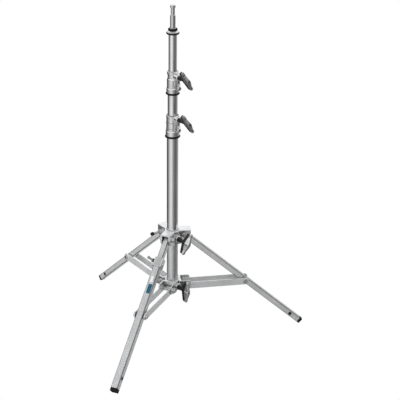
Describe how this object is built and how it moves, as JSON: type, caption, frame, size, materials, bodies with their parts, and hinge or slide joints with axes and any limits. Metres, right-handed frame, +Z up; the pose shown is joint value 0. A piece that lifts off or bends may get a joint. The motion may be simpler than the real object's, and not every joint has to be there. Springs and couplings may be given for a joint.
{
  "type": "lighting stand",
  "caption": "Telescopic chromed steel lighting stand with sliding sections held by T-handle collars, on a folding braced tripod with a levelling leg and a spigot on top",
  "frame": {"origin": "on the axis of the column, at floor level between the three feet", "axes": "+Z up along the column, -Y along the levelling leg, the other legs at 30 and 150 degrees from +X"},
  "size_m": [0.7454, 0.6458, 1.071],
  "materials": {
    "chrome_tube": "bright chrome plate on round steel tube",
    "satin_steel": "satin chrome plate on square tube and flat bar",
    "cast_alloy": "tumbled and plated casting",
    "handle_alloy": "die-cast alloy, dull grey",
    "black_plastic": "moulded, fine texture",
    "black_rubber": "matt",
    "zinc_fastener": "zinc plated",
    "nylon_pad": "natural nylon",
    "decal": "printed vinyl, plain blue with a pale tab"
  },
  "bodies": {
    "upper_hub": {"upper_hub": "cast_alloy", "leg_pivot_bolts": "zinc_fastener", "upper_pad": "nylon_pad"},
    "upper_handle": {"upper_handle_screw": "zinc_fastener", "upper_handle_base": "black_plastic", "upper_handle_wing": "handle_alloy"},
    "lock_knob": {"lock_knob": "black_plastic"},
    "leg_right": {"leg_right_tube": "satin_steel", "leg_right_fittings": "black_plastic", "leg_right_foot": "black_rubber"},
    "leg_left": {"leg_left_tube": "satin_steel", "leg_left_fittings": "black_plastic", "leg_left_foot": "black_rubber"},
    "leg_front": {"leg_front_inner": "satin_steel", "leg_front_cap": "black_plastic"},
    "leg_front_lower": {"leg_front_outer": "satin_steel", "leg_front_fittings": "black_plastic", "leg_front_foot": "black_rubber", "level_clamp": "cast_alloy", "level_pad": "nylon_pad", "decals": "decal"},
    "level_handle": {"level_handle_screw": "zinc_fastener", "level_handle_base": "black_plastic", "level_lever": "handle_alloy"},
    "lower_hub": {"lower_hub": "cast_alloy", "brace_pivot_bolts": "zinc_fastener", "lower_pad": "nylon_pad"},
    "lower_handle": {"lower_handle_screw": "zinc_fastener", "lower_handle_base": "black_plastic", "lower_handle_wing": "handle_alloy"},
    "brace_right": {"brace_right": "satin_steel", "brace_right_bolts": "zinc_fastener"},
    "brace_left": {"brace_left": "satin_steel", "brace_left_bolts": "zinc_fastener"},
    "brace_front": {"brace_front": "satin_steel", "brace_front_bolts": "zinc_fastener"},
    "column_guide": {"column_plug": "black_plastic"},
    "column": {"column_tube": "chrome_tube", "collar_b": "cast_alloy", "collar_b_ring": "black_rubber", "collar_b_bush": "black_plastic", "collar_b_pad": "nylon_pad"},
    "handle_b": {"handle_b_screw": "zinc_fastener", "handle_b_base": "black_plastic", "handle_b_wing": "handle_alloy"},
    "riser_1_guide": {"riser_1_bush": "black_plastic"},
    "riser_1": {"riser_1_tube": "chrome_tube", "collar_a": "cast_alloy", "collar_a_ring": "black_rubber", "collar_a_bush": "black_plastic", "collar_a_pad": "nylon_pad"},
    "handle_a": {"handle_a_screw": "zinc_fastener", "handle_a_base": "black_plastic", "handle_a_wing": "handle_alloy"},
    "riser_2_guide": {"riser_2_bush": "black_plastic"},
    "riser_2": {"riser_2_tube": "chrome_tube", "top_ring": "black_rubber", "spigot_ring": "black_rubber", "spigot": "chrome_tube"}
  },
  "joints": [
    {"name": "fold", "type": "slide", "parent": "upper_hub", "child": "lower_hub", "axis": [0, 0, -1], "range_m": [0, 0.2777]},
    {"name": "leg_right_swing", "type": "hinge", "parent": "upper_hub", "child": "leg_right", "pos_m": [0.03291, 0.019, 0.339], "axis": [-0.5, 0.866, 0], "range_deg": [0, 46]},
    {"name": "brace_right_swing", "type": "hinge", "parent": "lower_hub", "child": "brace_right", "pos_m": [0.03291, 0.019, 0.164], "axis": [0.5, -0.866, 0], "range_deg": [0, 84.42]},
    {"name": "leg_left_swing", "type": "hinge", "parent": "upper_hub", "child": "leg_left", "pos_m": [-0.03291, 0.019, 0.339], "axis": [-0.5, -0.866, 0], "range_deg": [0, 46]},
    {"name": "brace_left_swing", "type": "hinge", "parent": "lower_hub", "child": "brace_left", "pos_m": [-0.03291, 0.019, 0.164], "axis": [0.5, 0.866, 0], "range_deg": [0, 84.42]},
    {"name": "leg_front_swing", "type": "hinge", "parent": "upper_hub", "child": "leg_front", "pos_m": [0, -0.038, 0.339], "axis": [1, 0, 0], "range_deg": [0, 46]},
    {"name": "brace_front_swing", "type": "hinge", "parent": "lower_hub", "child": "brace_front", "pos_m": [0, -0.038, 0.164], "axis": [-1, 0, 0], "range_deg": [0, 84.42]},
    {"name": "level", "type": "slide", "parent": "leg_front", "child": "leg_front_lower", "axis": [0, -0.7547, -0.6561], "range_m": [-0.018, 0.09]},
    {"name": "level_handle_turn", "type": "hinge", "parent": "leg_front_lower", "child": "level_handle", "pos_m": [0, -0.09687, 0.28783], "axis": [-1, 0, 0], "continuous": true},
    {"name": "upper_handle_turn", "type": "hinge", "parent": "upper_hub", "child": "upper_handle", "pos_m": [0.03464, -0.02, 0.334], "axis": [0.866, -0.5, 0], "continuous": true},
    {"name": "lock_knob_turn", "type": "hinge", "parent": "upper_hub", "child": "lock_knob", "pos_m": [-0.03291, 0.019, 0.339], "axis": [-0.5, -0.866, 0], "continuous": true},
    {"name": "lower_handle_turn", "type": "hinge", "parent": "lower_hub", "child": "lower_handle", "pos_m": [0.03464, -0.02, 0.167], "axis": [0.866, -0.5, 0], "continuous": true},
    {"name": "column_height", "type": "slide", "parent": "lower_hub", "child": "column_guide", "axis": [0, 0, 1], "range_m": [-0.02, 0]},
    {"name": "column_turn", "type": "hinge", "parent": "column_guide", "child": "column", "pos_m": [0, 0, 0.16], "axis": [0, 0, 1], "continuous": true},
    {"name": "handle_b_turn", "type": "hinge", "parent": "column", "child": "handle_b", "pos_m": [0.03464, -0.02, 0.728], "axis": [0.866, -0.5, 0], "continuous": true},
    {"name": "riser_1_height", "type": "slide", "parent": "column", "child": "riser_1_guide", "axis": [0, 0, 1], "range_m": [-0.05, 0.4]},
    {"name": "riser_1_turn", "type": "hinge", "parent": "riser_1_guide", "child": "riser_1", "pos_m": [0, 0, 0.25], "axis": [0, 0, 1], "continuous": true},
    {"name": "handle_a_turn", "type": "hinge", "parent": "riser_1", "child": "handle_a", "pos_m": [0.03464, -0.02, 0.859], "axis": [0.866, -0.5, 0], "continuous": true},
    {"name": "riser_2_height", "type": "slide", "parent": "riser_1", "child": "riser_2_guide", "axis": [0, 0, 1], "range_m": [-0.103, 0.4]},
    {"name": "riser_2_turn", "type": "hinge", "parent": "riser_2_guide", "child": "riser_2", "pos_m": [0, 0, 0.39], "axis": [0, 0, 1], "continuous": true}
  ],
  "couplings": [
    {"joint": "leg_right_swing", "follows": "fold", "rad_per_m": 2.891},
    {"joint": "brace_right_swing", "follows": "fold", "rad_per_m": 5.3057},
    {"joint": "leg_left_swing", "follows": "fold", "rad_per_m": 2.891},
    {"joint": "brace_left_swing", "follows": "fold", "rad_per_m": 5.3057},
    {"joint": "leg_front_swing", "follows": "fold", "rad_per_m": 2.891},
    {"joint": "brace_front_swing", "follows": "fold", "rad_per_m": 5.3057}
  ]
}
